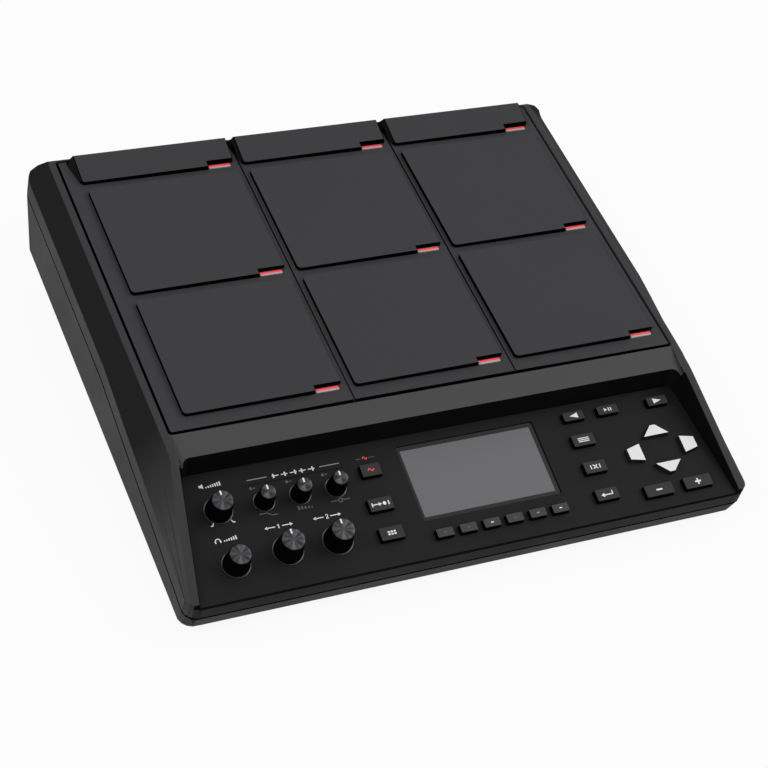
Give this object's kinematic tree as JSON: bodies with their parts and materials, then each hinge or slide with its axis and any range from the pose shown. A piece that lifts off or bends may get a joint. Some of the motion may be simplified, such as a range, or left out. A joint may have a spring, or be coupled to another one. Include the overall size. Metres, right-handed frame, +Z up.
{
  "type": "sampling drum pad",
  "caption": "Wedge-shaped electronic percussion pad: a rubber deck of square and edge pads with lights over a recessed panel of knobs, keys and a display.",
  "frame": {"origin": "on the floor under the middle of the bounding box", "axes": "+X to the player's right, +Y to the rear, +Z up"},
  "size_m": [0.3882, 0.3428, 0.095],
  "materials": {
    "case_plastic": "fine moulded texture",
    "panel_plastic": "fine moulded texture",
    "pad_rubber": "matte rubber",
    "plate_steel": "zinc plated sheet",
    "sensor_brass": "plain disc",
    "cushion_foam": "open foam",
    "light_red": "lit translucent bar",
    "window_plastic": "clear window over a grey display",
    "module_plastic": "plain",
    "board_green": "coated circuit board",
    "dark_plastic": "plain",
    "bright_metal": "bright plated",
    "screw_steel": "plated",
    "foot_rubber": "matte rubber",
    "insert_brass": "turned brass",
    "knob_black": "black sides with a spun grey cap",
    "key_grey": "matte top, dark sides",
    "key_white": "matte white"
  },
  "bodies": {
    "chassis": {"bottom_case": "case_plastic", "top_case": "case_plastic", "control_panel": "panel_plastic", "pad_sheet": "pad_rubber", "pad_plate": "plate_steel", "pad_sensors": "sensor_brass", "sensor_cushions": "cushion_foam", "pad_lights": "light_red", "display_window": "window_plastic", "display_module": "module_plastic", "panel_board": "board_green", "key_switches": "dark_plastic", "pot_bodies": "dark_plastic", "knob_rings": "bright_metal", "main_board": "board_green", "jack_plate": "panel_plastic", "jack_sockets": "dark_plastic", "usb_sockets": "bright_metal", "dc_inlet": "dark_plastic", "power_switch": "dark_plastic", "case_screws": "screw_steel", "rubber_feet": "foot_rubber", "stand_inserts": "insert_brass"},
    "master_knob": {"master_knob": "knob_black", "master_knob_shaft": "screw_steel"},
    "phones_knob": {"phones_knob": "knob_black", "phones_knob_shaft": "screw_steel"},
    "effect_knob_1": {"effect_knob_1": "knob_black", "effect_knob_1_shaft": "screw_steel"},
    "effect_knob_2": {"effect_knob_2": "knob_black", "effect_knob_2_shaft": "screw_steel"},
    "effect_knob_3": {"effect_knob_3": "knob_black", "effect_knob_3_shaft": "screw_steel"},
    "control_knob_1": {"control_knob_1": "knob_black", "control_knob_1_shaft": "screw_steel"},
    "control_knob_2": {"control_knob_2": "knob_black", "control_knob_2_shaft": "screw_steel"},
    "effect_key": {"effect_key": "key_grey"},
    "trigger_key": {"trigger_key": "key_grey"},
    "kit_key": {"kit_key": "key_grey"},
    "function_key_1": {"function_key_1": "key_grey"},
    "function_key_2": {"function_key_2": "key_grey"},
    "function_key_3": {"function_key_3": "key_grey"},
    "function_key_4": {"function_key_4": "key_grey"},
    "function_key_5": {"function_key_5": "key_grey"},
    "function_key_6": {"function_key_6": "key_grey"},
    "back_key": {"back_key": "key_grey"},
    "centre_key": {"centre_key": "key_grey"},
    "forward_key": {"forward_key": "key_grey"},
    "menu_key": {"menu_key": "key_grey"},
    "exit_key": {"exit_key": "key_grey"},
    "enter_key": {"enter_key": "key_grey"},
    "minus_key": {"minus_key": "key_grey"},
    "plus_key": {"plus_key": "key_grey"},
    "cursor_up_key": {"cursor_up_key": "key_white"},
    "cursor_left_key": {"cursor_left_key": "key_white"},
    "cursor_down_key": {"cursor_down_key": "key_white"},
    "cursor_right_key": {"cursor_right_key": "key_white"},
    "power_button": {"power_button": "key_grey"}
  },
  "joints": [
    {"name": "master_knob_turn", "type": "hinge", "parent": "chassis", "child": "master_knob", "pos_m": [-0.156, -0.11272, 0.04223], "axis": [0, -0.2385, 0.9711], "range_deg": [-150, 150]},
    {"name": "phones_knob_turn", "type": "hinge", "parent": "chassis", "child": "phones_knob", "pos_m": [-0.1564, -0.14812, 0.03354], "axis": [0, -0.2385, 0.9711], "range_deg": [-150, 150]},
    {"name": "effect_knob_1_turn", "type": "hinge", "parent": "chassis", "child": "effect_knob_1", "pos_m": [-0.1265, -0.11253, 0.04228], "axis": [0, -0.2385, 0.9711], "range_deg": [-150, 150]},
    {"name": "effect_knob_2_turn", "type": "hinge", "parent": "chassis", "child": "effect_knob_2", "pos_m": [-0.1028, -0.11253, 0.04228], "axis": [0, -0.2385, 0.9711], "range_deg": [-150, 150]},
    {"name": "effect_knob_3_turn", "type": "hinge", "parent": "chassis", "child": "effect_knob_3", "pos_m": [-0.0791, -0.11253, 0.04228], "axis": [0, -0.2385, 0.9711], "range_deg": [-150, 150]},
    {"name": "control_knob_1_turn", "type": "hinge", "parent": "chassis", "child": "control_knob_1", "pos_m": [-0.1225, -0.14618, 0.03402], "axis": [0, -0.2385, 0.9711], "range_deg": [-150, 150]},
    {"name": "control_knob_2_turn", "type": "hinge", "parent": "chassis", "child": "control_knob_2", "pos_m": [-0.0901, -0.14628, 0.03399], "axis": [0, -0.2385, 0.9711], "range_deg": [-150, 150]},
    {"name": "effect_key_press", "type": "slide", "parent": "chassis", "child": "effect_key", "axis": [0, 0.2385, -0.9711], "range_m": [0, 0.0007], "stiffness_N_per_m": 400},
    {"name": "trigger_key_press", "type": "slide", "parent": "chassis", "child": "trigger_key", "axis": [0, 0.2385, -0.9711], "range_m": [0, 0.0007], "stiffness_N_per_m": 400},
    {"name": "kit_key_press", "type": "slide", "parent": "chassis", "child": "kit_key", "axis": [0, 0.2385, -0.9711], "range_m": [0, 0.0007], "stiffness_N_per_m": 400},
    {"name": "function_key_1_press", "type": "slide", "parent": "chassis", "child": "function_key_1", "axis": [0, 0.2385, -0.9711], "range_m": [0, 0.0007], "stiffness_N_per_m": 400},
    {"name": "function_key_2_press", "type": "slide", "parent": "chassis", "child": "function_key_2", "axis": [0, 0.2385, -0.9711], "range_m": [0, 0.0007], "stiffness_N_per_m": 400},
    {"name": "function_key_3_press", "type": "slide", "parent": "chassis", "child": "function_key_3", "axis": [0, 0.2385, -0.9711], "range_m": [0, 0.0007], "stiffness_N_per_m": 400},
    {"name": "function_key_4_press", "type": "slide", "parent": "chassis", "child": "function_key_4", "axis": [0, 0.2385, -0.9711], "range_m": [0, 0.0007], "stiffness_N_per_m": 400},
    {"name": "function_key_5_press", "type": "slide", "parent": "chassis", "child": "function_key_5", "axis": [0, 0.2385, -0.9711], "range_m": [0, 0.0007], "stiffness_N_per_m": 400},
    {"name": "function_key_6_press", "type": "slide", "parent": "chassis", "child": "function_key_6", "axis": [0, 0.2385, -0.9711], "range_m": [0, 0.0007], "stiffness_N_per_m": 400},
    {"name": "back_key_press", "type": "slide", "parent": "chassis", "child": "back_key", "axis": [0, 0.2385, -0.9711], "range_m": [0, 0.0007], "stiffness_N_per_m": 400},
    {"name": "centre_key_press", "type": "slide", "parent": "chassis", "child": "centre_key", "axis": [0, 0.2385, -0.9711], "range_m": [0, 0.0007], "stiffness_N_per_m": 400},
    {"name": "forward_key_press", "type": "slide", "parent": "chassis", "child": "forward_key", "axis": [0, 0.2385, -0.9711], "range_m": [0, 0.0007], "stiffness_N_per_m": 400},
    {"name": "menu_key_press", "type": "slide", "parent": "chassis", "child": "menu_key", "axis": [0, 0.2385, -0.9711], "range_m": [0, 0.0007], "stiffness_N_per_m": 400},
    {"name": "exit_key_press", "type": "slide", "parent": "chassis", "child": "exit_key", "axis": [0, 0.2385, -0.9711], "range_m": [0, 0.0007], "stiffness_N_per_m": 400},
    {"name": "enter_key_press", "type": "slide", "parent": "chassis", "child": "enter_key", "axis": [0, 0.2385, -0.9711], "range_m": [0, 0.0007], "stiffness_N_per_m": 400},
    {"name": "minus_key_press", "type": "slide", "parent": "chassis", "child": "minus_key", "axis": [0, 0.2385, -0.9711], "range_m": [0, 0.0007], "stiffness_N_per_m": 400},
    {"name": "plus_key_press", "type": "slide", "parent": "chassis", "child": "plus_key", "axis": [0, 0.2385, -0.9711], "range_m": [0, 0.0007], "stiffness_N_per_m": 400},
    {"name": "cursor_up_key_press", "type": "slide", "parent": "chassis", "child": "cursor_up_key", "axis": [0, 0.2385, -0.9711], "range_m": [0, 0.0007], "stiffness_N_per_m": 400},
    {"name": "cursor_left_key_press", "type": "slide", "parent": "chassis", "child": "cursor_left_key", "axis": [0, 0.2385, -0.9711], "range_m": [0, 0.0007], "stiffness_N_per_m": 400},
    {"name": "cursor_down_key_press", "type": "slide", "parent": "chassis", "child": "cursor_down_key", "axis": [0, 0.2385, -0.9711], "range_m": [0, 0.0007], "stiffness_N_per_m": 400},
    {"name": "cursor_right_key_press", "type": "slide", "parent": "chassis", "child": "cursor_right_key", "axis": [0, 0.2385, -0.9711], "range_m": [0, 0.0007], "stiffness_N_per_m": 400},
    {"name": "power_button_press", "type": "slide", "parent": "chassis", "child": "power_button", "axis": [0, -1, 0], "range_m": [0, 0.0016], "stiffness_N_per_m": 600}
  ]
}
